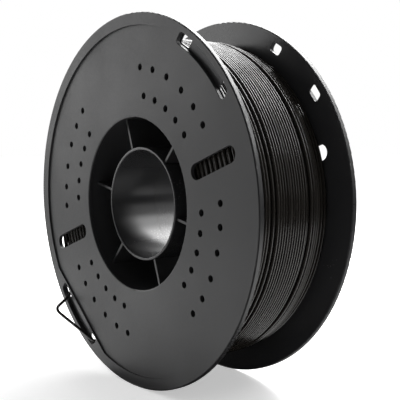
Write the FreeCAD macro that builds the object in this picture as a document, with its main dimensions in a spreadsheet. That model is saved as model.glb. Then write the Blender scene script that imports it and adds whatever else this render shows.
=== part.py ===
"""Filament spool, full, with its filament's free end tucked through one flange.

The spool's axis lies along Y and its origin is the centre of the bore, half way between the flanges.
The flange with the parked filament end faces -Y. Angles about the axis run from +X towards +Z.
Lengths are millimetres and angles are degrees.
"""

import FreeCAD
import Part
import Sketcher

import math
import os

# Driving sizes: alias, value, what it is
SIZES = [
    ("flange_radius", 100.75, "outer radius of both flanges"),
    ("overall_width", 65.4, "over the two rims, along the axis"),
    ("rim_thickness", 3.2, "flange thickness at the rim"),
    ("face_recess", 1.0, "how far the flange's outer face lies below its rim"),
    ("rim_width", 6.55, "the raised rim, in from the flange's edge"),
    ("rim_flat_step", 0.2, "a pocket's corner to the rim's straight inner edge beside it"),
    ("rim_edge_radius", 0.6, "rounding of the rim's edges"),
    ("opening_step", 1.2, "how far a flange's opening stands in from the drum's inside"),
    ("opening_edge_radius", 0.7, "rounding of the opening's edges"),
    ("window_angle", 19.8, "the first window's direction"),
    ("window_step", 3.4, "drum to the inner end of a window"),
    ("window_inset", 12.75, "flange's edge to the outer end of a window"),
    ("window_width", 8.3, "width of a window"),
    ("vent_diameter", 3.6, "round holes through the flanges"),
    ("vent_group_angle", 40.0, "window to the middle of a group of round holes"),
    ("outer_vent_radius", 72.7, "pitch radius of the outer round holes"),
    ("outer_vent_first", 5.5, "group's middle to the first outer hole"),
    ("outer_vent_second", 15.5, "group's middle to the second outer hole"),
    ("outer_vent_third", 24.5, "group's middle to the third outer hole"),
    ("inner_vent_radius", 58.3, "pitch radius of the inner round holes"),
    ("inner_vent_pitch", 10.0, "angle between inner round holes"),
    ("pocket_angle", 30.0, "window to the middle of a filament pocket"),
    ("pocket_wall", 3.55, "wall between a pocket and the flange's edge"),
    ("pocket_width", 6.1, "width of a pocket"),
    ("pocket_half_length", 23.1, "middle of a pocket to its end"),
    ("pocket_depth", 2.4, "pocket's floor below the rim"),
    ("pocket_corner", 2.0, "rounding of a pocket's corners"),
    ("pocket_edge_radius", 0.3, "rounding of a pocket's edge at the rim"),
    ("bridge_half_length", 14.9, "half of the floor that stays between a pocket's two holes"),
    ("hole_ledge", 0.5, "floor that stays between a hole and the pocket's wall"),
    ("hole_corner", 1.5, "rounding of a hole's corners"),
    ("drum_outer_radius", 50.2, "drum that the filament is wound on"),
    ("drum_wall", 2.4, "wall of the drum"),
    ("bore_radius", 29.3, "bore for the spool holder"),
    ("tube_wall", 1.6, "wall of the bore tube"),
    ("tube_recess", 6.1, "bore tube's end below the rim"),
    ("tube_edge_radius", 0.5, "rounding of the bore tube's end"),
    ("rib_recess", 7.3, "rib's end below the rim"),
    ("rib_thickness", 1.4, "thickness of a rib"),
    ("rib_angle", 29.0, "window to the first rib"),
    ("lap_length", 3.0, "overlap of the two mouldings at the middle"),
    ("lap_clearance", 0.1, "play between lapped walls"),
    ("latch_angle", 59.0, "window to the first latch"),
    ("latch_span", 12.0, "angle that a latch takes up"),
    ("latch_thickness", 1.6, "thickness of a latch's arm"),
    ("latch_root", 10.0, "length of arm on the front drum"),
    ("latch_reach", 9.0, "how far a latch goes past the middle"),
    ("latch_nose", 1.6, "how far the nose stands out from the arm"),
    ("latch_nose_length", 3.6, "length of the nose along the axis"),
    ("latch_clearance", 0.3, "play round a nose in its window"),
    ("winding_radius", 84.5, "outside of the wound filament at the flanges"),
    ("winding_crown", 2.7, "how far the middle turns stand out over the ones at the flanges"),
    ("winding_clearance", 0.3, "filament to drum and flanges"),
    ("filament_diameter", 1.75, "the filament"),
    ("turn_pitch", 1.95, "spacing of turns side by side"),
    ("tool_overrun", 1.0, "how far a cutting tool runs past a face"),
]

RIB_COUNT = 6
LATCH_COUNT = 3

# Turns from a flange to the winding's full radius
CROWN_TURNS = 4

# Share of the shorter run that a rounded corner of the filament takes up
CORNER_SHARE = 0.45

# Lengths closer than this are the same
SAME = 1e-6

# The free end's route, beside the lower left pocket: along the pocket towards its upper end, out from
# the axis, and out from the rim. It leaves the wound filament at the first point.
TAIL_ROUTE = [
    (57.3, 63.5, -4.4),
    (49.3, 70.3, -4.45),
    (41.0, 76.9, -4.5),
    (32.4, 83.2, -4.5),
    (24.4, 88.7, -4.5),
    (16.7, 93.0, -3.15),
    (11.6, 93.2, 4.8),
    (6.75, 93.2, 12.65),
    (-1.3, 93.1, 8.7),
    (-9.6, 93.0, 4.35),
    (-16.6, 92.9, 1.05),
    (-21.5, 92.9, -1.1),
    (-21.7, 92.9, -6.0),
]

ANGLE_AXIS = FreeCAD.Vector(0, -1, 0)

DRUM_INNER = "(Sizes.drum_outer_radius - Sizes.drum_wall)"
POCKET_OUTER = "(Sizes.flange_radius - Sizes.pocket_wall)"
POCKET_INNER = "(Sizes.flange_radius - Sizes.pocket_wall - Sizes.pocket_width)"


def make_sheet(doc):
    """Puts the driving sizes in a spreadsheet and gives each cell its name."""
    sheet = doc.addObject("Spreadsheet::Sheet", "Sizes")
    for row, (alias, value, meaning) in enumerate(SIZES, start=1):
        sheet.set(f"A{row}", meaning)
        sheet.set(f"B{row}", str(value))
        sheet.setAlias(f"B{row}", alias)
    doc.recompute()
    return sheet


def bind(item, **expressions):
    """Binds properties to expressions; two underscores stand for a dot."""
    for name, expression in expressions.items():
        item.setExpression(name.replace("__", "."), expression)


def rod(doc, name, radius, start, length, x="0", z="0"):
    """A cylinder along the spool's axis, from one place on the axis to another."""
    item = doc.addObject("Part::Cylinder", name)
    item.Placement = FreeCAD.Placement(FreeCAD.Vector(), FreeCAD.Rotation(FreeCAD.Vector(1, 0, 0), -90))
    bind(item, Radius=radius, Height=length)
    bind(item, Placement__Base__x=x, Placement__Base__y=start, Placement__Base__z=z)
    return item


def bar(doc, name, angle, inner, outer, half_width, start, length):
    """A box that points out from the axis at an angle, from an inner to an outer distance."""
    item = doc.addObject("Part::Box", name)
    item.Placement = FreeCAD.Placement(FreeCAD.Vector(), FreeCAD.Rotation(ANGLE_AXIS, 1))
    bind(item, Length=f"({outer}) - ({inner})", Width=length, Height=f"2 * ({half_width})")
    bind(
        item,
        Placement__Rotation__Angle=angle,
        Placement__Base__x=f"({inner}) * cos({angle}) + ({half_width}) * sin({angle})",
        Placement__Base__y=start,
        Placement__Base__z=f"({inner}) * sin({angle}) - ({half_width}) * cos({angle})",
    )
    return item


def combine(doc, kind, name, *items):
    """A cut or common of two items, or a fuse of many."""
    made = doc.addObject(f"Part::{kind}", name)
    if kind == "MultiFuse":
        made.Shapes = list(items)
    else:
        made.Base, made.Tool = items
    return made


def runs_along_axis(edge):
    """Whether an edge is straight and runs along the spool's axis."""
    start, end = edge.Vertexes[0].Point, edge.Vertexes[-1].Point
    return math.hypot(end.x - start.x, end.z - start.z) < SAME < abs(end.y - start.y)


def round_edges(doc, name, base, choose):
    """Rounds the edges of a shape that choose gives a radius for."""
    doc.recompute()
    chosen = [(number, choose(edge)) for number, edge in enumerate(base.Shape.Edges, start=1)]
    made = doc.addObject("Part::Fillet", name)
    made.Base = base
    made.Edges = [(number, radius, radius) for number, radius in chosen if radius]
    return made


def outline(body, name, corners):
    """A closed outline of straight lines on a body's XY plane; each corner's place is two expressions."""
    sketch = body.newObject("Sketcher::SketchObject", name)
    plane = next(item for item in body.Origin.OriginFeatures if item.Role == "XY_Plane")
    sketch.AttachmentSupport = [(plane, "")]
    sketch.MapMode = "FlatFace"
    places = [FreeCAD.Vector(*(float(sketch.evalExpression(text)) for text in corner)) for corner in corners]
    last = len(corners) - 1
    for i, place in enumerate(places):
        sketch.addGeometry(Part.LineSegment(place, places[0 if i == last else i + 1]), False)
    for i in range(len(corners)):
        sketch.addConstraint(Sketcher.Constraint("Coincident", i, 2, 0 if i == last else i + 1, 1))
    for i, corner in enumerate(corners):
        for axis, kind, text in zip((-2, -1), ("DistanceX", "DistanceY"), corner):
            if text == "0":
                sketch.addConstraint(Sketcher.Constraint("PointOnObject", i, 1, axis))
                continue
            value = float(sketch.evalExpression(text))
            number = sketch.addConstraint(Sketcher.Constraint(kind, -1, 1, i, 1, value))
            sketch.setExpression(f"Constraints[{number}]", text)
    return sketch


def turned(body, kind, name, sketch, angle="360"):
    """Turns an outline about the spool's axis, evenly to both sides of it when it isn't a full turn."""
    feature = body.newObject(f"PartDesign::{kind}", name)
    feature.Profile = sketch
    feature.ReferenceAxis = (sketch, ["V_Axis"])
    feature.Midplane = True
    feature.setExpression("Angle", angle)
    return feature


def lap_half(doc, name, inner, wall, length, side, edge_radius=None):
    """One half of a lapped tube: side -1 has the inner lip, side 1 the step that it slides into."""
    body = doc.addObject("PartDesign::Body", name)
    middle = f"{inner} + {wall} / 2"
    if side < 0:
        corners = [
            (inner, "0"),
            (f"{middle} - Sizes.lap_clearance", "0"),
            (f"{middle} - Sizes.lap_clearance", "Sizes.lap_length"),
            (f"{inner} + {wall}", "Sizes.lap_length"),
            (f"{inner} + {wall}", f"Sizes.lap_length + {length}"),
            (inner, f"Sizes.lap_length + {length}"),
        ]
        body.Placement = FreeCAD.Placement(FreeCAD.Vector(), FreeCAD.Rotation(FreeCAD.Vector(0, 0, 1), 180))
        bind(body, Placement__Base__y="Sizes.lap_length")
    else:
        corners = [
            (middle, "0"),
            (f"{inner} + {wall}", "0"),
            (f"{inner} + {wall}", length),
            (inner, length),
            (inner, "Sizes.lap_length + Sizes.lap_clearance"),
            (middle, "Sizes.lap_length + Sizes.lap_clearance"),
        ]
    wall_feature = turned(body, "Revolution", f"{name}_wall", outline(body, f"{name}_outline", corners))
    doc.recompute()
    if edge_radius:
        far_end = max(vertex.Point.y for vertex in wall_feature.Shape.Vertexes)
        edges = [
            f"Edge{number}"
            for number, edge in enumerate(wall_feature.Shape.Edges, start=1)
            if all(abs(vertex.Point.y - far_end) < SAME for vertex in edge.Vertexes)
        ]
        rounding = body.newObject("PartDesign::Fillet", f"{name}_rounding")
        rounding.Base = (wall_feature, edges)
        rounding.setExpression("Radius", edge_radius)
    return body


def ring_piece(doc, name, angle, ledge, start, length):
    """Both pockets' space from one place on the axis to another, set in from their walls by a ledge."""
    disc = rod(doc, f"{name}_disc", f"{POCKET_OUTER} - {ledge}", start, length)
    core = rod(doc, f"{name}_core", f"{POCKET_INNER} + {ledge}", start, length)
    ring = combine(doc, "Cut", f"{name}_ring", disc, core)
    across = bar(doc, f"{name}_bar", angle, "-Sizes.flange_radius", "Sizes.flange_radius",
                 f"Sizes.pocket_half_length - {ledge}", start, length)
    return combine(doc, "Common", f"{name}_space", ring, across)


def make_flange(doc, sheet):
    """The front flange: a disc with a raised rim, two windows, round holes and two filament pockets."""
    outside = "-Sizes.overall_width / 2"
    through = (f"{outside} - Sizes.tool_overrun", "Sizes.rim_thickness + 2 * Sizes.tool_overrun")
    across = "Sizes.window_angle + Sizes.pocket_angle"
    flat = f"(sqrt({POCKET_INNER}^2 - Sizes.pocket_half_length^2) - Sizes.rim_flat_step)"
    blank = rod(doc, "flange_blank", "Sizes.flange_radius", outside, "Sizes.rim_thickness")

    recess_disc = rod(doc, "recess_disc", "Sizes.flange_radius - Sizes.rim_width", through[0],
                      "Sizes.face_recess + Sizes.tool_overrun")
    flats = bar(doc, "recess_flats", across, f"-{flat}", flat, "Sizes.flange_radius", *through)
    cutters = [combine(doc, "Common", "face_recess", recess_disc, flats)]
    cutters.append(rod(doc, "opening", f"{DRUM_INNER} - Sizes.opening_step", *through))

    pockets = ring_piece(doc, "pocket", across, "0", through[0], "Sizes.pocket_depth + Sizes.tool_overrun")
    holes = ring_piece(doc, "hole", across, "Sizes.hole_ledge", *through)
    bridge = bar(doc, "bridge", across, "-Sizes.flange_radius", "Sizes.flange_radius",
                 "Sizes.bridge_half_length", *through)
    holes = combine(doc, "Cut", "hole_ends", holes, bridge)
    for name, tool, corner in (("pockets", pockets, sheet.pocket_corner), ("holes", holes, sheet.hole_corner)):
        cutters.append(round_edges(doc, name, tool, lambda edge: corner if runs_along_axis(edge) else 0))

    half_width = "Sizes.window_width / 2"
    ends = (f"(Sizes.drum_outer_radius + Sizes.window_step + {half_width})",
            f"(Sizes.flange_radius - Sizes.window_inset - {half_width})")
    for side in (0, 180):
        angle = f"(Sizes.window_angle + {side})"
        cutters.append(bar(doc, f"window_{side}", angle, *ends, half_width, *through))
        for place, end in enumerate(ends):
            cutters.append(rod(doc, f"window_end_{side}_{place}", half_width, *through,
                               x=f"{end} * cos({angle})", z=f"{end} * sin({angle})"))

    outer_places = [f"{sign} Sizes.outer_vent_{name}" for name in ("first", "second", "third") for sign in "+-"]
    inner_places = [f"+ {step} * Sizes.inner_vent_pitch" for step in range(-2, 3)]
    for group, (side, sign) in enumerate(((0, "+"), (0, "-"), (180, "+"), (180, "-")), start=1):
        middle = f"Sizes.window_angle + {side} {sign} Sizes.vent_group_angle"
        for ring, places in (("outer", outer_places), ("inner", inner_places)):
            for number, place in enumerate(places, start=1):
                angle = f"({middle} {place})"
                cutters.append(rod(doc, f"vent_{group}_{ring}_{number}", "Sizes.vent_diameter / 2", *through,
                                   x=f"Sizes.{ring}_vent_radius * cos({angle})",
                                   z=f"Sizes.{ring}_vent_radius * sin({angle})"))

    tool = combine(doc, "MultiFuse", "flange_cutters", *cutters)
    sharp = combine(doc, "Cut", "flange_sharp", blank, tool)
    opening_radius = sheet.drum_outer_radius - sheet.drum_wall - sheet.opening_step
    pocket_inner = sheet.flange_radius - sheet.pocket_wall - sheet.pocket_width
    beside_pockets = math.sqrt(pocket_inner ** 2 - sheet.pocket_half_length ** 2)

    def rounding(edge):
        """The rim's and the opening's full circles, and the edges of the pockets at the rim."""
        if len(edge.Vertexes) == 1:
            sizes = ((sheet.flange_radius, sheet.rim_edge_radius), (opening_radius, sheet.opening_edge_radius))
            return next((size for radius, size in sizes if abs(edge.Curve.Radius - radius) < SAME), 0)
        at_rim = all(abs(vertex.Point.y + sheet.overall_width / 2) < SAME for vertex in edge.Vertexes)
        middle = edge.CenterOfMass
        is_pocket = math.hypot(middle.x, middle.z) > beside_pockets
        return sheet.pocket_edge_radius if at_rim and is_pocket else 0

    return round_edges(doc, "front_flange", sharp, rounding)


def mirror(doc, name, source):
    """The same piece on the other side of the spool's middle."""
    made = doc.addObject("Part::Mirroring", name)
    made.Source = source
    made.Base = FreeCAD.Vector()
    made.Normal = FreeCAD.Vector(0, 1, 0)
    return made


def cut_latch_windows(drum, latch_turn):
    """Cuts the windows for the latches' noses into the rear drum and turns it to meet the latches."""
    low = "Sizes.latch_reach - Sizes.latch_nose_length - Sizes.latch_clearance"
    high = "Sizes.latch_reach + Sizes.latch_clearance"
    inside = f"{DRUM_INNER} - Sizes.tool_overrun"
    outside = "Sizes.drum_outer_radius + Sizes.tool_overrun"
    window = outline(drum, "latch_window_outline", [
        (inside, low), (outside, low), (outside, high), (inside, high),
    ])
    span = f"Sizes.latch_span + 360 * Sizes.latch_clearance / (pi * {DRUM_INNER})"
    groove = turned(drum, "Groove", "latch_window", window, span)
    windows = drum.newObject("PartDesign::PolarPattern", "latch_windows")
    windows.Originals = [groove]
    windows.Axis = (window, ["V_Axis"])
    windows.Angle = 360
    windows.Occurrences = LATCH_COUNT
    drum.Tip = windows
    drum.Placement = FreeCAD.Placement(FreeCAD.Vector(), FreeCAD.Rotation(ANGLE_AXIS, 1))
    bind(drum, Placement__Rotation__Angle=latch_turn)


def make_hub(doc):
    """The drum and the bore tube in lapped halves, the ribs between them and the latches that join them."""
    half = "Sizes.overall_width / 2"
    drum_length = f"({half} - Sizes.rim_thickness)"
    tube_outer = "(Sizes.bore_radius + Sizes.tube_wall)"
    tube_length = f"({half} - Sizes.tube_recess)"
    latch_turn = "Sizes.window_angle + Sizes.latch_angle"
    drums, tubes, ribs, latches = [], [], [], []
    for side, word in ((-1, "front"), (1, "rear")):
        drums.append(lap_half(doc, f"{word}_drum", DRUM_INNER, "Sizes.drum_wall", drum_length, side))
        tubes.append(lap_half(doc, f"{word}_bore_tube", "Sizes.bore_radius", "Sizes.tube_wall", tube_length,
                              side, "Sizes.tube_edge_radius"))
    cut_latch_windows(drums[1], latch_turn)

    hub_disc = rod(doc, "hub_disc", DRUM_INNER, f"-{half}", "Sizes.overall_width")
    hub_core = rod(doc, "hub_core", tube_outer, f"-{half}", "Sizes.overall_width")
    hub_space = combine(doc, "Cut", "hub_space", hub_disc, hub_core)
    rib_length = f"{half} - Sizes.rib_recess"
    for word, start in (("front", f"-({rib_length})"), ("rear", "0")):
        for number in range(RIB_COUNT):
            turn = f"(Sizes.window_angle + Sizes.rib_angle + {number * 360 / RIB_COUNT})"
            blade = bar(doc, f"{word}_blade_{number + 1}", turn, "0", "Sizes.drum_outer_radius",
                        "Sizes.rib_thickness / 2", start, rib_length)
            ribs.append(combine(doc, "Common", f"{word}_rib_{number + 1}", hub_space, blade))

    arm_inner = f"{DRUM_INNER} - Sizes.latch_thickness"
    nose = f"{DRUM_INNER} + Sizes.latch_nose"
    tip = "Sizes.latch_root + Sizes.latch_reach"
    catch = f"{tip} - Sizes.latch_nose_length"
    for number in range(LATCH_COUNT):
        latch = doc.addObject("PartDesign::Body", f"hub_latch_{number + 1}")
        arm = outline(latch, f"latch_outline_{number + 1}", [
            (arm_inner, "0"), (DRUM_INNER, "0"), (DRUM_INNER, catch), (nose, catch),
            (nose, f"{catch} + Sizes.latch_nose_length / 2"), (DRUM_INNER, tip), (arm_inner, tip),
        ])
        turned(latch, "Revolution", f"latch_arm_{number + 1}", arm, "Sizes.latch_span")
        latch.Placement = FreeCAD.Placement(FreeCAD.Vector(), FreeCAD.Rotation(ANGLE_AXIS, 1))
        bind(latch, Placement__Rotation__Angle=f"{latch_turn} + {number * 360 / LATCH_COUNT}",
             Placement__Base__y="-Sizes.latch_root")
        latches.append(latch)
    return drums + tubes + ribs + latches


def make_winding(doc, sheet):
    """The wound filament: a ring whose outside is the turns of its top layer, side by side."""
    inner = sheet.drum_outer_radius + sheet.winding_clearance
    half_width = sheet.overall_width / 2 - sheet.rim_thickness - sheet.winding_clearance
    bead = sheet.filament_diameter / 2
    edge_valley = sheet.winding_radius - bead
    turns = int(2 * half_width / sheet.turn_pitch)
    edges = []
    last = FreeCAD.Vector(edge_valley, -half_width, 0)
    for turn in range(turns):
        middle = (turn - (turns - 1) / 2) * sheet.turn_pitch
        from_flange = min(turn, turns - 1 - turn)
        valley = edge_valley + sheet.winding_crown * min(from_flange / CROWN_TURNS, 1)
        low, top, high = (FreeCAD.Vector(valley + out, middle + along, 0)
                          for out, along in ((0, -bead), (bead, 0), (0, bead)))
        edges.append(Part.LineSegment(last, low).toShape())
        edges.append(Part.Arc(low, top, high).toShape())
        last = high
    corners = [last, FreeCAD.Vector(edge_valley, half_width, 0), FreeCAD.Vector(inner, half_width, 0),
               FreeCAD.Vector(inner, -half_width, 0), FreeCAD.Vector(edge_valley, -half_width, 0)]
    edges += [Part.LineSegment(a, b).toShape() for a, b in zip(corners, corners[1:])]
    made = doc.addObject("Part::Feature", "filament_winding")
    made.Shape = Part.Face(Part.Wire(edges)).revolve(FreeCAD.Vector(), FreeCAD.Vector(0, 1, 0), 360)
    made.Placement = FreeCAD.Placement()
    print("turns in the top layer:", turns)
    return made


def rounded_path(points):
    """Straight runs joined by tangent arcs, each as large as its two runs allow."""
    edges = []
    last = points[0]
    for before, corner, after in zip(points, points[1:], points[2:]):
        arriving, leaving = corner - before, after - corner
        trim = CORNER_SHARE * min(arriving.Length, leaving.Length)
        turn = arriving.getAngle(leaving)
        radius = trim / math.tan(turn / 2)
        arriving.normalize()
        leaving.normalize()
        inward = leaving - arriving
        inward.normalize()
        start, end = corner - arriving * trim, corner + leaving * trim
        top = corner + inward * (radius / math.cos(turn / 2) - radius)
        edges.append(Part.LineSegment(last, start).toShape())
        edges.append(Part.Arc(start, top, end).toShape())
        last = end
        print(f"filament turns {math.degrees(turn):.0f} degrees on a radius of {radius:.1f} mm")
    edges.append(Part.LineSegment(last, points[-1]).toShape())
    return Part.Wire(edges)


def make_tail(doc, sheet):
    """The filament's free end: off the winding, out through one hole of a pocket and back in at the other."""
    turn = math.radians(sheet.window_angle + sheet.pocket_angle + 180)
    outward = FreeCAD.Vector(math.cos(turn), 0, math.sin(turn))
    along = FreeCAD.Vector(math.sin(turn), 0, -math.cos(turn))
    rim = FreeCAD.Vector(0, -sheet.overall_width / 2, 0)
    standing = FreeCAD.Vector(0, -1, 0)
    points = [rim + along * a + outward * o + standing * s for a, o, s in TAIL_ROUTE]
    path = rounded_path(points)
    first = points[1] - points[0]
    section = Part.Wire(Part.makeCircle(sheet.filament_diameter / 2, points[0], first))
    made = doc.addObject("Part::Feature", "filament_tail")
    made.Shape = path.makePipeShell([section], True, False)
    made.Placement = FreeCAD.Placement()
    tube = math.pi * (sheet.filament_diameter / 2) ** 2 * path.Length
    print(f"filament end: {path.Length:.1f} mm long, volume {made.Shape.Volume:.2f} of {tube:.2f} mm3")
    return made


def check(doc, nodes):
    """Stops on a failed object or a node that isn't sound."""
    for item in doc.Objects:
        if {"Invalid", "Error"} & set(item.State):
            raise RuntimeError(f"{item.Label}: {item.State}")
    for node in nodes:
        if node.Shape.isNull() or not node.Shape.isValid() or not node.Shape.Solids:
            raise RuntimeError(f"{node.Label} has no sound solid")


def main():
    doc = FreeCAD.newDocument("filament_spool")
    sheet = make_sheet(doc)
    front = make_flange(doc, sheet)
    nodes = [front, mirror(doc, "rear_flange", front)]
    nodes += make_hub(doc)
    nodes.append(make_winding(doc, sheet))
    nodes.append(make_tail(doc, sheet))
    doc.recompute()
    check(doc, nodes)
    os.makedirs("parts", exist_ok=True)
    for node in nodes:
        node.Shape.exportStep(f"parts/{node.Label}.step")
        box = node.Shape.BoundBox
        print(f"{node.Label}: {len(node.Shape.Solids)} solid, {node.Shape.Volume:.0f} mm3,"
              f" X {box.XMin:.1f}..{box.XMax:.1f} Y {box.YMin:.1f}..{box.YMax:.1f}"
              f" Z {box.ZMin:.1f}..{box.ZMax:.1f}")


main()
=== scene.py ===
"""Filament spool: the wound filament turn by turn, its parked free end, and the finish of every piece.

The frame is the part's own: metres, +Z up, the spool's axis along Y, and the bore's centre at the origin.
Angles about the axis run from +X towards +Z, and the flange with the parked filament end faces -Y.
"""

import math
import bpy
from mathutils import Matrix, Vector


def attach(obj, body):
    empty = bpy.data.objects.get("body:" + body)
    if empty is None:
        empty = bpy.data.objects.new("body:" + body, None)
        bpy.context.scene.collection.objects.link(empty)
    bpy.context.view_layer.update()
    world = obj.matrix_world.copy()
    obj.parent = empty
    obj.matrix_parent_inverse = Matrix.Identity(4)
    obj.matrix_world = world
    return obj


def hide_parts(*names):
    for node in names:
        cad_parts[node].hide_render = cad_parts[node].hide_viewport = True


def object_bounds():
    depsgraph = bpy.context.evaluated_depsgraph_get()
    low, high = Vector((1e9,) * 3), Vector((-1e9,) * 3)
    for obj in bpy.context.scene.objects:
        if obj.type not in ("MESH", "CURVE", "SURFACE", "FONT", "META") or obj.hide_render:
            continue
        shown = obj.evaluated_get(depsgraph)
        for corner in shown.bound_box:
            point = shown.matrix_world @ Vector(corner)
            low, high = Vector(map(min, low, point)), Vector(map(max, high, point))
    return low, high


bl_info = {
    "name": "Filament spool",
    "version": (1, 0, 0),
    "blender": (4, 5, 0),
    "location": "3D View > Sidebar > Spool",
    "description": "Winds, finishes and stages a full filament spool",
    "category": "Object",
}

import bmesh
import bpy
from mathutils import Matrix, Vector

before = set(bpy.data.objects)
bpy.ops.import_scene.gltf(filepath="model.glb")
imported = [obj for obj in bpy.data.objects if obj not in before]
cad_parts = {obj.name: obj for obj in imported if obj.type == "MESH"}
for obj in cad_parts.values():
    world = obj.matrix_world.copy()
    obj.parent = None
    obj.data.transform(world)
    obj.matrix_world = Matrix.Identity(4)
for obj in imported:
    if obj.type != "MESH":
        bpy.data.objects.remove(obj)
CAD_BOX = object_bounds()

BODY = "root"
AXIS = Vector((0.0, -1.0, 0.0))
UP = Vector((0.0, 0.0, 1.0))
MILLIMETRE = 0.001

# Points closer than this are merged where a shape closes on itself
MERGE = 1e-6

FLANGES = ("front_flange", "rear_flange")
DRUMS = ("front_drum", "rear_drum")
BORE_TUBES = ("front_bore_tube", "rear_bore_tube")
RIBS = tuple(f"{side}_rib_{number}" for side in ("front", "rear") for number in range(1, 7))
LATCHES = tuple(f"hub_latch_{number}" for number in range(1, 4))

# Where a flange's finish changes: from its inner side to its outer one, by distance from the spool's
# middle, and from its faces to the wall of its edge, by radius
FACE_CHANGE = (0.0296, 0.0300)
EDGE_CHANGE = (0.1001, 0.1004)

# Size of the moulded grain and of the filament's soft waviness
MOULDED_GRAIN = 0.0004
FILAMENT_GRAIN = 0.0060

# The camera's place, and the directions to its right and to its back
CAMERA_PLACE = (0.362836, -0.276502, 0.037753)
CAMERA_RIGHT = (0.62529, 0.78039, 0.0)
CAMERA_BACK = (0.77379, -0.62001, 0.12978)

# The free end's route in millimetres: along the pocket towards its upper end, out from the axis, and out
# from the rim
END_ROUTE = (
    (57.3, 63.5, -4.4),
    (49.3, 70.3, -4.45),
    (41.0, 76.9, -4.5),
    (32.4, 83.2, -4.5),
    (24.4, 88.7, -4.5),
    (16.7, 93.0, -3.15),
    (11.6, 93.2, 4.8),
    (6.75, 93.2, 12.65),
    (-1.3, 93.1, 8.7),
    (-9.6, 93.0, 4.35),
    (-16.6, 92.9, 1.05),
    (-21.5, 92.9, -1.1),
    (-21.7, 92.9, -6.0),
)

# The outer turns lie in groups with gaps between them, from the front flange to the rear one: place of
# a group's first turn along the axis, count of turns and their spacing, in millimetres
TURN_GROUPS = (
    (-28.3, 6, 2.02),
    (-15.4, 2, 1.9),
    (-10.4, 1, 0.0),
    (-7.2, 12, 1.71),
    (15.6, 3, 1.75),
    (21.2, 4, 2.37),
)
TURN_PLACES = [first + spacing * number for first, turns, spacing in TURN_GROUPS for number in range(turns)]

# How far the turns stand out over the ones at the flanges, by place along the axis, in millimetres
CROWN = ((-28.3, 0.0), (-20.0, 2.7), (18.0, 2.7), (21.0, 2.0), (28.3, 1.4))

# How much further the turns stand out at the top and the bottom of the spool, in millimetres, and how
# closely that keeps to the top and the bottom
OVAL = 1.5
OVAL_POWER = 8

# Counts of turns, from where the outer layer starts at the front flange. Before that the last lap lies
# in the groove on top of the layer; it gets there and back down in the tenth of a turn at its ends.
FIRST_TURN = -1
CLIMB = 0.1
GROOVE = 0.5
LAST_TURN = len(TURN_PLACES) - 1

# The outer turns settle into their wander in the first half turn. From this share of the layer on they
# lie looser, fully so after this further share.
SETTLE = 0.5
LOOSE_FROM = 0.72
LOOSE_WITHIN = 0.2

# How far the outer turns wander along the axis and outwards, in millimetres: tidy turns, and what comes
# on top for loose ones
WANDER_ALONG = (0.14, 0.22)
WANDER_OUT = (0.05, 0.10)
WANDER_MIDDLE = 0.55

# A faster wave in the wander along the axis: its share, and its angle for each turn
WAVE_SHARE = 0.3
WAVE_PACE = 13.7

# How fast the outer turns' height and tone change, over once for each turn
LIFT_PACE = 1.3
TONE_PACE = 1.7

# Seeds of the random curves along the strand
SEEDS = {"place": 11, "wave": 23, "lift": 37, "tone": 53, "seat": 71, "end_lift": 83, "end_tone": 97,
         "under_tone": 131}

# Last part of a turn in which the strand crosses to the next one, in a layer and in the stacks of end
# turns. The hidden layers do so out of sight, low at the spool's back.
LAYER_CROSSING = 0.2
END_CROSSING = 0.1
CROSSING = math.radians(200)

# Play between the drum and the lowest turns, in millimetres
DRUM_PLAY = 0.3

# The layer below the outer one: its depth under the winding's outside and its spacing, in strands, and
# the flat sides of its strand, of which little shows
UNDER_DEPTH = 1.4
UNDER_SPACING = 1.02
UNDER_SIDES = 8

# The ring that fills the winding: depth under its outside and under its ends, in strands
CORE_DEPTH = 2.1
CORE_END_DEPTH = 1.2

# The two stacks of end turns: side of the spool, name, and depth of the top turn in strands
END_STACKS = ((-1, "front", 1.5), (1, "rear", 0.9))
END_SPACING = 1.05

# How much further in every second end turn lies, and the play of all along the axis and outwards, in
# millimetres
END_STEP = 0.85
END_PLAY_ALONG = 0.5
END_PLAY_OUT = 0.25

# Radius of the tent of dark cloth that the spool's gloss reflects, with the flat steps of its dome and
# right round it. Its hem covers the floor but for two slots: first and last angle from +X towards +Y, and
# inner and outer radius.
TENT = 1.6
DOME_STEPS = 12
ROUND_STEPS = 72
SLOTS = ((-180, -60, 0.05, 0.46), (10, 40, 0.05, 0.46))

# Lamps in an arch over the spool behind its rear flange: angle about the axis, place along the axis,
# width along it and power. All have one distance from the axis and one length along the arch.
ARCH = ((22, 0.62, 0.18, 0.5), (50, 0.62, 0.18, 2.4), (80, 0.62, 0.20, 5.0), (110, 0.50, 0.50, 7.0),
        (140, 0.40, 0.70, 5.5))
ARCH_RADIUS = 0.78
ARCH_LAMP = 0.42


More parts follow.
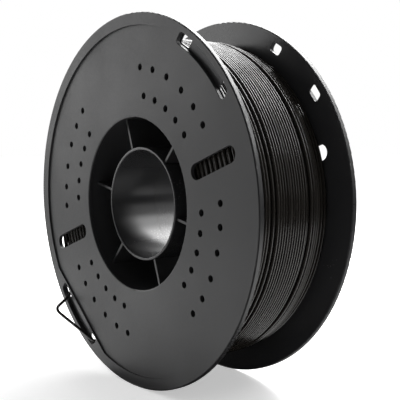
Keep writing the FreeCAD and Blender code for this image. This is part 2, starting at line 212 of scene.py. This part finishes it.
class SpoolSizes(bpy.types.PropertyGroup):
    """Sizes of the wound filament and its free end."""

    strand: bpy.props.FloatProperty(
        name="Filament diameter", description="Diameter of the filament",
        default=0.00175, min=0.001, max=0.003, precision=5, subtype="DISTANCE", unit="LENGTH")
    winding_radius: bpy.props.FloatProperty(
        name="Winding radius", description="Outside of the wound filament at the flanges",
        default=0.0845, min=0.06, max=0.095, precision=4, subtype="DISTANCE", unit="LENGTH")
    drum_radius: bpy.props.FloatProperty(
        name="Drum radius", description="Drum that the filament is wound on",
        default=0.0502, min=0.04, max=0.06, precision=4, subtype="DISTANCE", unit="LENGTH")
    half_width: bpy.props.FloatProperty(
        name="Half width", description="Middle of the spool to the end of the wound filament",
        default=0.0292, min=0.02, max=0.04, precision=4, subtype="DISTANCE", unit="LENGTH")
    rim_face: bpy.props.FloatProperty(
        name="Rim", description="Middle of the spool to the outer side of a rim",
        default=0.0327, min=0.02, max=0.05, precision=4, subtype="DISTANCE", unit="LENGTH")
    pocket_turn: bpy.props.FloatProperty(
        name="Pocket angle", description="Direction of the pocket that holds the filament's free end",
        default=math.radians(229.8), subtype="ANGLE", unit="ROTATION")
    half_turn_segments: bpy.props.IntProperty(
        name="Segments", description="Flat steps in half a turn of filament",
        default=72, min=12, max=128)
    strand_sides: bpy.props.IntProperty(
        name="Sides", description="Flat sides of the filament's section",
        default=12, min=6, max=24)


class SpoolColours(bpy.types.PropertyGroup):
    """Colours of the plastics and the floor."""

    moulding: bpy.props.FloatVectorProperty(
        name="Spool plastic", description="Colour of the two mouldings",
        default=(0.022, 0.022, 0.023), size=3, min=0.0, max=1.0, subtype="COLOR")
    filament: bpy.props.FloatVectorProperty(
        name="Filament", description="Colour of the filament",
        default=(0.014, 0.012, 0.010), size=3, min=0.0, max=1.0, subtype="COLOR")
    floor: bpy.props.FloatVectorProperty(
        name="Floor", description="Colour of the floor and the backdrop",
        default=(0.86, 0.86, 0.86), size=3, min=0.0, max=1.0, subtype="COLOR")


def node_group(name, inputs, outputs):
    """An empty shader group with named sockets; gives the group and its two end nodes."""
    group = bpy.data.node_groups.new(name, "ShaderNodeTree")
    for in_out, sockets in (("INPUT", inputs), ("OUTPUT", outputs)):
        for label, kind in sockets:
            group.interface.new_socket(name=label, in_out=in_out, socket_type=f"NodeSocket{kind}")
    return group, group.nodes.new("NodeGroupInput"), group.nodes.new("NodeGroupOutput")


def set_inputs(tree, node, inputs):
    """Links or sets a node's inputs by name or number."""
    for name, value in inputs.items():
        if isinstance(value, bpy.types.NodeSocket):
            tree.links.new(value, node.inputs[name])
        else:
            node.inputs[name].default_value = value


def add_node(tree, kind, inputs=(), **settings):
    """Adds a node, sets its options and then its inputs."""
    node = tree.nodes.new(f"ShaderNode{kind}")
    for name, value in settings.items():
        setattr(node, name, value)
    set_inputs(tree, node, dict(inputs))
    return node


def math_node(tree, operation, first, second=0.0, third=0.0, clamp=False):
    """One step of arithmetic; gives its output."""
    inputs = {0: first, 1: second, 2: third}
    return add_node(tree, "Math", inputs, operation=operation, use_clamp=clamp).outputs[0]


def map_range(tree, value, low, high, start=0.0, end=1.0, **settings):
    """Turns a value that goes from start to end into one that goes from low to high; gives its output."""
    inputs = {"Value": value, "From Min": start, "From Max": end, "To Min": low, "To Max": high}
    return add_node(tree, "MapRange", inputs, **settings).outputs["Result"]


def toned(tree, colour, tone):
    """A colour times a tone; gives its output."""
    return add_node(tree, "VectorMath", {0: colour, "Scale": tone}, operation="SCALE").outputs[0]


def moulded_grain():
    """Group: the fine matt grain of a moulded face, with soft patches of tone and gloss."""
    group, start, end = node_group(
        "Moulded grain",
        (("Place", "Vector"), ("Colour", "Color"), ("Grain size", "Float"), ("Depth", "Float"),
         ("Patchiness", "Float"), ("Gloss", "Float")),
        (("Colour", "Color"), ("Roughness", "Float"), ("Normal", "Vector")))
    place = start.outputs["Place"]
    patchiness = start.outputs["Patchiness"]
    fineness = math_node(group, "DIVIDE", 1.0, start.outputs["Grain size"])
    grain = add_node(group, "TexNoise", {"Vector": place, "Scale": fineness, "Detail": 2.0, "Roughness": 0.6})
    patches = add_node(group, "TexNoise", {"Vector": place, "Scale": 22.0, "Detail": 4.0, "Roughness": 0.55})
    specks = add_node(group, "TexNoise", {"Vector": place, "Scale": 900.0, "Detail": 1.0})
    shift = math_node(group, "SUBTRACT", patches.outputs["Fac"], 0.5)
    fine_shift = math_node(group, "SUBTRACT", specks.outputs["Fac"], 0.5)
    total = math_node(group, "ADD", shift, math_node(group, "MULTIPLY", fine_shift, 0.6))
    tone = math_node(group, "MULTIPLY_ADD", total, patchiness, 1.0)
    rough = math_node(group, "MULTIPLY_ADD", total, patchiness, start.outputs["Gloss"], clamp=True)
    bump = add_node(group, "Bump", {"Height": grain.outputs["Fac"], "Strength": start.outputs["Depth"],
                                    "Distance": 0.00006})
    set_inputs(group, end, {"Colour": toned(group, start.outputs["Colour"], tone), "Roughness": rough,
                            "Normal": bump.outputs["Normal"]})
    return group


def group_node(tree, group, **inputs):
    """Places a shader group in a material; underscores in input names stand for spaces."""
    node = tree.nodes.new("ShaderNodeGroup")
    node.node_tree = group
    set_inputs(tree, node, {name.replace("_", " "): value for name, value in inputs.items()})
    return node


def new_material(name):
    """An empty material; gives it, its tree, its shader and its object coordinates."""
    material = bpy.data.materials.new(name)
    material.use_nodes = True
    tree = material.node_tree
    shader = tree.nodes["Principled BSDF"]
    place = add_node(tree, "TexCoord").outputs["Object"]
    return material, tree, shader, place


def moulded_plastic(name, grain, colour, gloss, depth, patchiness, polished=None, edge=None):
    """The spool's black plastic with one face's grain and gloss; a flange is smoother on its inner side and
    round its edge."""
    material, tree, shader, place = new_material(name)
    roughness = gloss
    if polished is not None:
        parts = add_node(tree, "SeparateXYZ", {"Vector": place})
        outwards = math_node(tree, "ABSOLUTE", parts.outputs["Y"])
        face = map_range(tree, outwards, polished, gloss, *FACE_CHANGE)
        squares = [math_node(tree, "MULTIPLY", parts.outputs[axis], parts.outputs[axis]) for axis in "XZ"]
        radius = math_node(tree, "SQRT", math_node(tree, "ADD", *squares))
        roughness = map_range(tree, radius, face, edge, *EDGE_CHANGE)
    finish = group_node(tree, grain, Place=place, Colour=(*colour, 1.0), Grain_size=MOULDED_GRAIN,
                        Depth=depth, Patchiness=patchiness, Gloss=roughness)
    set_inputs(tree, shader, {"Base Color": finish.outputs["Colour"],
                              "Roughness": finish.outputs["Roughness"], "Normal": finish.outputs["Normal"]})
    return material


def filament_plastic(name, grain, colour, gloss):
    """The filament: smooth, with a tone and a gloss of its own on each turn."""
    material, tree, shader, place = new_material(name)
    turn = add_node(tree, "Attribute", attribute_name="turn_tone").outputs["Fac"]
    tone = map_range(tree, turn, 0.7, 1.4)
    shine = map_range(tree, turn, gloss - 0.04, gloss + 0.06)
    finish = group_node(tree, grain, Place=place, Colour=(*colour, 1.0), Grain_size=FILAMENT_GRAIN,
                        Depth=0.04, Patchiness=0.05, Gloss=shine)
    set_inputs(tree, shader, {"Base Color": toned(tree, finish.outputs["Colour"], tone),
                              "Roughness": finish.outputs["Roughness"], "Normal": finish.outputs["Normal"],
                              "IOR": 1.6})
    return material


def mesh_object(name, bm, material):
    """Makes an object of a bmesh, with one material."""
    mesh = bpy.data.meshes.new(name)
    bm.to_mesh(mesh)
    bm.free()
    mesh.materials.append(material)
    piece = bpy.data.objects.new(name, mesh)
    bpy.context.scene.collection.objects.link(piece)
    return piece


def finish_piece(name, bm, material, replaced, smooth=True):
    """Makes a piece of the spool, rides it on the spool and hides the node that it stands for."""
    piece = mesh_object(name, bm, material)
    polygons = piece.data.polygons
    polygons.foreach_set("use_smooth", [smooth] * len(polygons))
    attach(piece, BODY)
    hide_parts(replaced)


def stage_piece(name, bm, material):
    """Makes a piece of the studio, which isn't part of the spool."""
    piece = mesh_object(name, bm, material)
    return piece


def turned_shape(bm, corners, segments):
    """Spins a profile of (radius, place along the axis) points about the axis."""
    verts = [bm.verts.new((radius, along, 0.0)) for radius, along in corners]
    edges = [bm.edges.new(pair) for pair in zip(verts, verts[1:] + verts[:1])]
    bmesh.ops.spin(bm, geom=verts + edges, cent=(0, 0, 0), axis=AXIS, angle=math.tau, steps=segments,
                   use_merge=True)
    bmesh.ops.remove_doubles(bm, verts=bm.verts, dist=MERGE)
    bmesh.ops.recalc_face_normals(bm, faces=bm.faces)


def smooth_step(value):
    """0 below 0, 1 above 1, and an even curve between."""
    value = min(max(value, 0.0), 1.0)
    return value * value * (3 - 2 * value)


def crossed(run, part):
    """How far the strand has crossed to the next turn, from 0 to 1, after a run of its own turn; it crosses
    in the turn's last part."""
    return smooth_step((run - 1) / part + 1)


def end_points(sizes):
    """The free end's route in the part's frame; it leaves the wound filament at the first point."""
    outward = Vector((math.cos(sizes.pocket_turn), 0.0, math.sin(sizes.pocket_turn)))
    along = Vector((math.sin(sizes.pocket_turn), 0.0, -math.cos(sizes.pocket_turn)))
    return [
        (along * a + outward * o) * MILLIMETRE - Vector((0.0, sizes.rim_face + s * MILLIMETRE, 0.0))
        for a, o, s in END_ROUTE
    ]


def steady_random(number):
    """A steady number from 0 to 1 for each whole number: the far digits of a sine."""
    return (math.sin(number * 12.9898 + 4.1) * 43758.5453) % 1.0


def along_strand(wound, seed):
    """An even random curve from 0 to 1 along the wound strand, new at each turn."""
    turn = math.floor(wound)
    share = smooth_step(wound - turn)
    return (1 - share) * steady_random(turn + seed) + share * steady_random(turn + 1 + seed)


def between(points, place):
    """The height at a place on an even curve through (place, height) points."""
    for (before, low), (after, high) in zip(points, points[1:]):
        if place <= after:
            return low + (high - low) * smooth_step((place - before) / (after - before))
    return points[-1][1]


def crown_height(place, angle):
    """How far a turn stands out, in millimetres: more in the middle, and more at the top and the bottom."""
    crown = between(CROWN, place)
    return crown + OVAL * math.sin(angle) ** OVAL_POWER * smooth_step(crown)


def turn_place(wound):
    """The place of an outer turn along the axis, in millimetres; at its very end it crosses to the next."""
    turn = min(max(math.floor(wound), 0), LAST_TURN)
    next_turn = min(turn + 1, LAST_TURN)
    share = crossed(wound - turn, LAYER_CROSSING)
    return TURN_PLACES[turn] * (1 - share) + TURN_PLACES[next_turn] * share


def half_turn(radius, thickness, sides, segments):
    """Half a turn of filament; gives its mesh, whose sections follow one another."""
    bm = bmesh.new()
    bmesh.ops.create_circle(bm, segments=sides, radius=thickness / 2,
                            matrix=Matrix.Translation((radius, 0.0, 0.0)))
    bmesh.ops.spin(bm, geom=bm.verts[:] + bm.edges[:], cent=(0, 0, 0), axis=AXIS, angle=-math.pi,
                   steps=segments, use_merge=False)
    mesh = bpy.data.meshes.new("half_turn")
    bm.to_mesh(mesh)
    bm.free()
    return mesh


def wind(name, sizes, sides, radius, first, last, start_angle, lay):
    """Makes a piece of half turns of filament, laid one after another from the first count of turns to the
    last. lay gives a section's radius, its place along the axis and its tone from the count of turns;
    angles fall as the count rises."""
    mesh = half_turn(radius, sizes.strand, sides, sizes.half_turn_segments)
    sections = len(mesh.vertices) // sides
    bm = bmesh.new()
    tone = bm.verts.layers.float.new("turn_tone")
    for half in range(round((last - first) * 2)):
        known = len(bm.verts)
        bm.from_mesh(mesh)
        bm.verts.ensure_lookup_table()
        for number, vert in enumerate(bm.verts[known:]):
            share = (number // sides) / (sections - 1)
            wound = first + (half + share) / 2
            out = math.hypot(vert.co.x, vert.co.z) - radius
            place_out, place_along, vert[tone] = lay(wound)
            angle = start_angle - wound * math.tau
            vert.co.x = (place_out + out) * math.cos(angle)
            vert.co.z = (place_out + out) * math.sin(angle)
            vert.co.y += place_along
    bpy.data.meshes.remove(mesh)
    bmesh.ops.remove_doubles(bm, verts=bm.verts, dist=MERGE)
    bmesh.ops.holes_fill(bm, edges=[edge for edge in bm.edges if edge.is_boundary], sides=0)
    bmesh.ops.recalc_face_normals(bm, faces=bm.faces)
    finish_piece(name, bm, bpy.data.materials["filament"], "filament_winding")


def placed(place, side, back):
    """The matrix of a camera or a lamp at a place, from the directions to its side and to its back."""
    side, back = Vector(side).normalized(), Vector(back).normalized()
    turn = Matrix((side, back.cross(side).normalized(), back)).transposed().to_4x4()
    return Matrix.Translation(place) @ turn


class SPOOL_OT_camera(bpy.types.Operator):
    """Place the camera at the catalogue view of the spool"""

    bl_idname = "spool.camera"
    bl_label = "Camera"

    def execute(self, context):
        lens = bpy.data.cameras.new("camera")
        lens.lens = 72.94
        lens.sensor_width = 36.0
        lens.shift_y = 0.1
        lens.clip_start = 0.01
        lens.clip_end = 50.0
        camera = bpy.data.objects.new("camera", lens)
        context.scene.collection.objects.link(camera)
        camera.matrix_world = placed(CAMERA_PLACE, CAMERA_RIGHT, CAMERA_BACK)
        context.scene.camera = camera
        return {"FINISHED"}


class SPOOL_OT_filament_end(bpy.types.Operator):
    """Lay the filament's free end out through one hole of the pocket and back in at the other"""

    bl_idname = "spool.filament_end"
    bl_label = "Filament end"

    def execute(self, context):
        sizes = context.scene.spool_sizes
        points = end_points(sizes)
        curve = bpy.data.curves.new("filament_end", "CURVE")
        curve.dimensions = "3D"
        curve.bevel_depth = sizes.strand / 2
        curve.bevel_resolution = 6
        curve.resolution_u = 16
        curve.use_fill_caps = True
        spline = curve.splines.new("NURBS")
        spline.points.add(len(points) - 1)
        for point, place in zip(spline.points, points):
            point.co = (*place, 1.0)
        spline.order_u = 3
        spline.use_endpoint_u = True
        piece = bpy.data.objects.new("filament_end", curve)
        context.scene.collection.objects.link(piece)
        curve.materials.append(bpy.data.materials["filament"])
        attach(piece, BODY)
        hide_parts("filament_tail")
        return {"FINISHED"}


class SPOOL_OT_materials(bpy.types.Operator):
    """Make the plastics"""

    bl_idname = "spool.materials"
    bl_label = "Plastics"

    def execute(self, context):
        colours = context.scene.spool_colours
        grain = moulded_grain()
        moulded_plastic("moulded_face", grain, colours.moulding, gloss=0.46, depth=0.35, patchiness=0.26,
                        polished=0.20, edge=0.33)
        moulded_plastic("moulded_bore", grain, colours.moulding, gloss=0.25, depth=0.10, patchiness=0.10)
        moulded_plastic("moulded_inside", grain, colours.moulding, gloss=0.38, depth=0.20, patchiness=0.12)
        filament_plastic("filament", grain, colours.filament, gloss=0.23)
        return {"FINISHED"}


class SPOOL_OT_mouldings(bpy.types.Operator):
    """Give the flanges, drums, bore tubes, ribs and latches their moulded finish"""

    bl_idname = "spool.mouldings"
    bl_label = "Mouldings"

    def execute(self, context):
        finishes = (
            ("moulded_face", FLANGES),
            ("moulded_bore", BORE_TUBES),
            ("moulded_inside", DRUMS + RIBS + LATCHES),
        )
        for finish, names in finishes:
            for name in names:
                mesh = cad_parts[name].data
                mesh.materials.clear()
                mesh.materials.append(bpy.data.materials[finish])
        return {"FINISHED"}


class SPOOL_OT_winding_core(bpy.types.Operator):
    """Fill the inside of the wound filament with one ring"""

    bl_idname = "spool.winding_core"
    bl_label = "Winding core"

    def execute(self, context):
        sizes = context.scene.spool_sizes
        inner = sizes.drum_radius + DRUM_PLAY * MILLIMETRE
        outer = sizes.winding_radius - sizes.strand * CORE_DEPTH
        half = sizes.half_width - sizes.strand * CORE_END_DEPTH
        corners = [(outer + between(CROWN, place) * MILLIMETRE, place * MILLIMETRE)
                   for place, _ in CROWN[1:-1]]
        bm = bmesh.new()
        turned_shape(bm, ((inner, -half), (outer, -half), *corners, (outer, half), (inner, half)),
                     2 * sizes.half_turn_segments)
        finish_piece("winding_core", bm, bpy.data.materials["filament"],
                     "filament_winding", smooth=False)
        return {"FINISHED"}


class SPOOL_OT_top_turns(bpy.types.Operator):
    """Wind the outer layer as one strand, with the wide gaps between its turns"""

    bl_idname = "spool.top_turns"
    bl_label = "Outer turns"

    def execute(self, context):
        sizes = context.scene.spool_sizes
        end = end_points(sizes)[0]
        radius = sizes.winding_radius - sizes.strand / 2
        top_lift = math.hypot(end.x, end.z) - radius
        start_angle = math.atan2(end.z, end.x) + FIRST_TURN * math.tau
        groove = GROOVE * (TURN_PLACES[1] - TURN_PLACES[0])

        def lay(wound):
            """Turn by turn at its own place, looser towards the rear; on top of the others at the start."""
            settled = smooth_step(wound / SETTLE)
            loose = smooth_step((wound / LAST_TURN - LOOSE_FROM) / LOOSE_WITHIN)
            wave = WAVE_SHARE * math.sin(wound * WAVE_PACE) * along_strand(wound, SEEDS["wave"])
            side = along_strand(wound, SEEDS["place"]) - 0.5 + wave
            place = turn_place(wound) + settled * (WANDER_ALONG[0] + WANDER_ALONG[1] * loose) * side
            on_top = 1 - crossed(wound - FIRST_TURN, CLIMB)
            place += groove * on_top * smooth_step((wound - FIRST_TURN) / CLIMB)
            height = along_strand(wound * LIFT_PACE, SEEDS["lift"]) - WANDER_MIDDLE
            lift = crown_height(place, start_angle - wound * math.tau)
            lift += settled * (WANDER_OUT[0] + WANDER_OUT[1] * loose) * height
            tone = along_strand(wound * TONE_PACE, SEEDS["tone"])
            return radius + top_lift * on_top + lift * MILLIMETRE, place * MILLIMETRE, tone

        wind("winding_outer_turns", sizes, sizes.strand_sides, radius, FIRST_TURN, LAST_TURN, start_angle,
             lay)
        return {"FINISHED"}


class SPOOL_OT_under_turns(bpy.types.Operator):
    """Wind the layer below the outer one, which shows in its gaps"""

    bl_idname = "spool.under_turns"
    bl_label = "Turns below"

    def execute(self, context):
        sizes = context.scene.spool_sizes
        radius = sizes.winding_radius - sizes.strand * UNDER_DEPTH
        reach = sizes.half_width - sizes.strand / 2
        turns = round(2 * reach / (UNDER_SPACING * sizes.strand))

        def lay(wound):
            """Side by side the other way, from the rear flange to the front one."""
            turn = math.floor(wound)
            step = turn + crossed(wound - turn, LAYER_CROSSING)
            place = (1 - 2 * step / turns) * reach / MILLIMETRE
            lift = crown_height(place, CROSSING - wound * math.tau)
            return radius + lift * MILLIMETRE, place * MILLIMETRE, along_strand(wound, SEEDS["under_tone"])

        wind("winding_under_turns", sizes, UNDER_SIDES, radius, 0, turns, CROSSING, lay)
        return {"FINISHED"}


class SPOOL_OT_side_turns(bpy.types.Operator):
    """Stack the end turns of every layer, which show through the flanges' windows and holes"""

    bl_idname = "spool.side_turns"
    bl_label = "End turns"

    def execute(self, context):
        sizes = context.scene.spool_sizes
        low = sizes.drum_radius + DRUM_PLAY * MILLIMETRE + sizes.strand / 2
        for side, word, depth in END_STACKS:
            high = sizes.winding_radius - sizes.strand * depth
            layers = round((high - low) / (END_SPACING * sizes.strand))

            def lay(wound):
                """Layer on layer against the flange, with every second layer's end further in."""
                turn = math.floor(wound)
                change = crossed(wound - turn, END_CROSSING)
                inward = (turn % 2) * (1 - change) + ((turn + 1) % 2) * change
                seat = END_STEP * inward + END_PLAY_ALONG * along_strand(wound, SEEDS["seat"] + side)
                out = low + (high - low) * (turn + change) / layers
                out += END_PLAY_OUT * (along_strand(wound, SEEDS["end_lift"] + side) - 0.5) * MILLIMETRE
                along = side * (sizes.half_width - sizes.strand / 2 - seat * MILLIMETRE)
                return out, along, along_strand(wound, SEEDS["end_tone"] + side)

            wind(f"winding_{word}_end_turns", sizes, sizes.strand_sides, low, 0, layers, CROSSING, lay)
        return {"FINISHED"}


def seen_directly(tree):
    """1 for rays from the camera and for rays that a glossy or clear face sends on, else 0."""
    path = add_node(tree, "LightPath")
    seen = math_node(tree, "MAXIMUM", path.outputs["Is Camera Ray"], path.outputs["Is Glossy Ray"])
    return math_node(tree, "MAXIMUM", seen, path.outputs["Is Transmission Ray"])


def pale_floor(colour):
    """The floor: plain and matt under the spool, and plain white like the backdrop far out."""
    material, tree, shader, place = new_material("pale_floor")
    mottle = add_node(tree, "TexNoise", {"Vector": place, "Scale": 3.0, "Detail": 2.0})
    shade = map_range(tree, mottle.outputs["Fac"], 0.99, 1.01)
    distance = add_node(tree, "VectorMath", {0: place}, operation="LENGTH").outputs["Value"]
    glow = map_range(tree, distance, 0.45, 0.80, start=0.15, end=0.60, interpolation_type="SMOOTHSTEP")
    set_inputs(tree, shader, {
        "Base Color": toned(tree, colour, shade),
        "Roughness": 0.9,
        "Specular IOR Level": 0.1,
        "Emission Color": (1.0, 1.0, 1.0, 1.0),
        "Emission Strength": math_node(tree, "MULTIPLY", glow, seen_directly(tree)),
    })
    return material


def dark_cloth():
    """The black cloth of the studio's tent."""
    material, tree, shader, place = new_material("dark_cloth")
    weave = add_node(tree, "TexNoise", {"Vector": place, "Scale": 40.0, "Detail": 3.0})
    set_inputs(tree, shader, {
        "Base Color": map_range(tree, weave.outputs["Fac"], 0.01, 0.03),
        "Roughness": 0.95,
        "Specular IOR Level": 0.0,
    })
    return material


def floor_shape(height):
    """A wide square floor."""
    bm = bmesh.new()
    bmesh.ops.create_grid(bm, x_segments=1, y_segments=1, size=4.0,
                          matrix=Matrix.Translation((0.0, 0.0, height)))
    return bm


def cloth_shape(profile, height):
    """Cloth of a profile of (radius, height over the floor) points, right round the spool."""
    bm = bmesh.new()
    verts = [bm.verts.new((radius, 0.0, height + MILLIMETRE + up)) for radius, up in profile]
    edges = [bm.edges.new(pair) for pair in zip(verts, verts[1:])]
    bmesh.ops.spin(bm, geom=verts + edges, cent=(0, 0, 0), axis=UP, angle=math.tau, steps=ROUND_STEPS,
                   use_merge=True)
    bmesh.ops.remove_doubles(bm, verts=bm.verts, dist=MERGE)
    return bm


def tent_shape(height):
    """The dark tent's dome."""
    turns = [math.radians(90 * step / DOME_STEPS) for step in range(DOME_STEPS + 1)]
    return cloth_shape([(TENT * math.cos(turn), TENT * math.sin(turn)) for turn in turns], height)


def hem_shape(height):
    """The tent's hem on the floor, with slots of bare floor, which the front and the lower turns reflect."""
    rings = sorted({radius for slot in SLOTS for radius in slot[2:]})
    bm = cloth_shape([(radius, 0.0) for radius in (MILLIMETRE, *rings, TENT)], height)
    bare = []
    for face in bm.faces:
        place = face.calc_center_median()
        turn = math.degrees(math.atan2(place.y, place.x))
        if any(first < turn < last and near < place.xy.length < far for first, last, near, far in SLOTS):
            bare.append(face)
    bmesh.ops.delete(bm, geom=bare, context="FACES")
    return bm


def soft_light(name, place, width, height, power, up=UP):
    """A rectangular studio light that faces the spool, with its height towards the direction up."""
    lamp = bpy.data.lights.new(name, "AREA")
    lamp.shape = "RECTANGLE"
    lamp.size = width
    lamp.size_y = height
    lamp.energy = power
    light = bpy.data.objects.new(name, lamp)
    bpy.context.scene.collection.objects.link(light)
    light.matrix_world = placed(place, up.cross(Vector(place)), place)
    light.visible_camera = False


class SPOOL_OT_stage(bpy.types.Operator):
    """Lay the pale floor, hang the dark tent and the soft lights"""

    bl_idname = "spool.stage"
    bl_label = "Stage"

    def execute(self, context):
        ground = CAD_BOX[0][2]
        stage_piece("floor", floor_shape(ground), pale_floor(context.scene.spool_colours.floor))
        cloth = dark_cloth()
        tent = stage_piece("dark_tent", tent_shape(ground), cloth)
        hem = stage_piece("dark_hem", hem_shape(ground), cloth)
        hem.visible_shadow = False
        for piece in (tent, hem):
            piece.visible_camera = False
            piece.visible_diffuse = False

        world = bpy.data.worlds.new("studio")
        world.use_nodes = True
        context.scene.world = world
        tree = world.node_tree
        set_inputs(tree, tree.nodes["Background"], {
            "Color": (1.0, 1.0, 1.0, 1.0),
            "Strength": map_range(tree, seen_directly(tree), 0.35, 1.0),
        })

        for angle, along, width, power in ARCH:
            turn = math.radians(angle)
            place = (ARCH_RADIUS * math.cos(turn), along, ARCH_RADIUS * math.sin(turn))
            soft_light(f"arch_light_{angle}", place, ARCH_LAMP, width, power, up=AXIS)
        soft_light("left_light", (-1.05, -0.45, 0.30), width=0.9, height=0.8, power=5.6)

        context.scene.view_settings.view_transform = "Standard"
        return {"FINISHED"}


class SPOOL_PT_panel(bpy.types.Panel):
    """Lists the spool's pieces, sizes and colours"""

    bl_label = "Filament spool"
    bl_idname = "SPOOL_PT_panel"
    bl_space_type = "VIEW_3D"
    bl_region_type = "UI"
    bl_category = "Spool"

    def draw(self, context):
        layout = self.layout
        for group in (context.scene.spool_sizes, context.scene.spool_colours):
            for name in group.bl_rna.properties.keys():
                if name not in ("rna_type", "name"):
                    layout.prop(group, name)
        for operator in OPERATORS:
            layout.operator(operator.bl_idname)


OPERATORS = (
    SPOOL_OT_camera,
    SPOOL_OT_materials,
    SPOOL_OT_filament_end,
    SPOOL_OT_winding_core,
    SPOOL_OT_under_turns,
    SPOOL_OT_top_turns,
    SPOOL_OT_side_turns,
    SPOOL_OT_mouldings,
    SPOOL_OT_stage,
)

CLASSES = (SpoolSizes, SpoolColours) + OPERATORS + (SPOOL_PT_panel,)


def register():
    for item in CLASSES:
        bpy.utils.register_class(item)
    bpy.types.Scene.spool_sizes = bpy.props.PointerProperty(type=SpoolSizes)
    bpy.types.Scene.spool_colours = bpy.props.PointerProperty(type=SpoolColours)


def unregister():
    del bpy.types.Scene.spool_colours
    del bpy.types.Scene.spool_sizes
    for item in reversed(CLASSES):
        bpy.utils.unregister_class(item)


def main():
    register()
    bpy.ops.spool.camera()
    bpy.ops.spool.materials()
    bpy.ops.spool.filament_end()
    bpy.ops.spool.winding_core()
    bpy.ops.spool.under_turns()
    bpy.ops.spool.top_turns()
    bpy.ops.spool.side_turns()
    bpy.ops.spool.mouldings()
    bpy.ops.spool.stage()


if __name__ == "__main__":
    main()
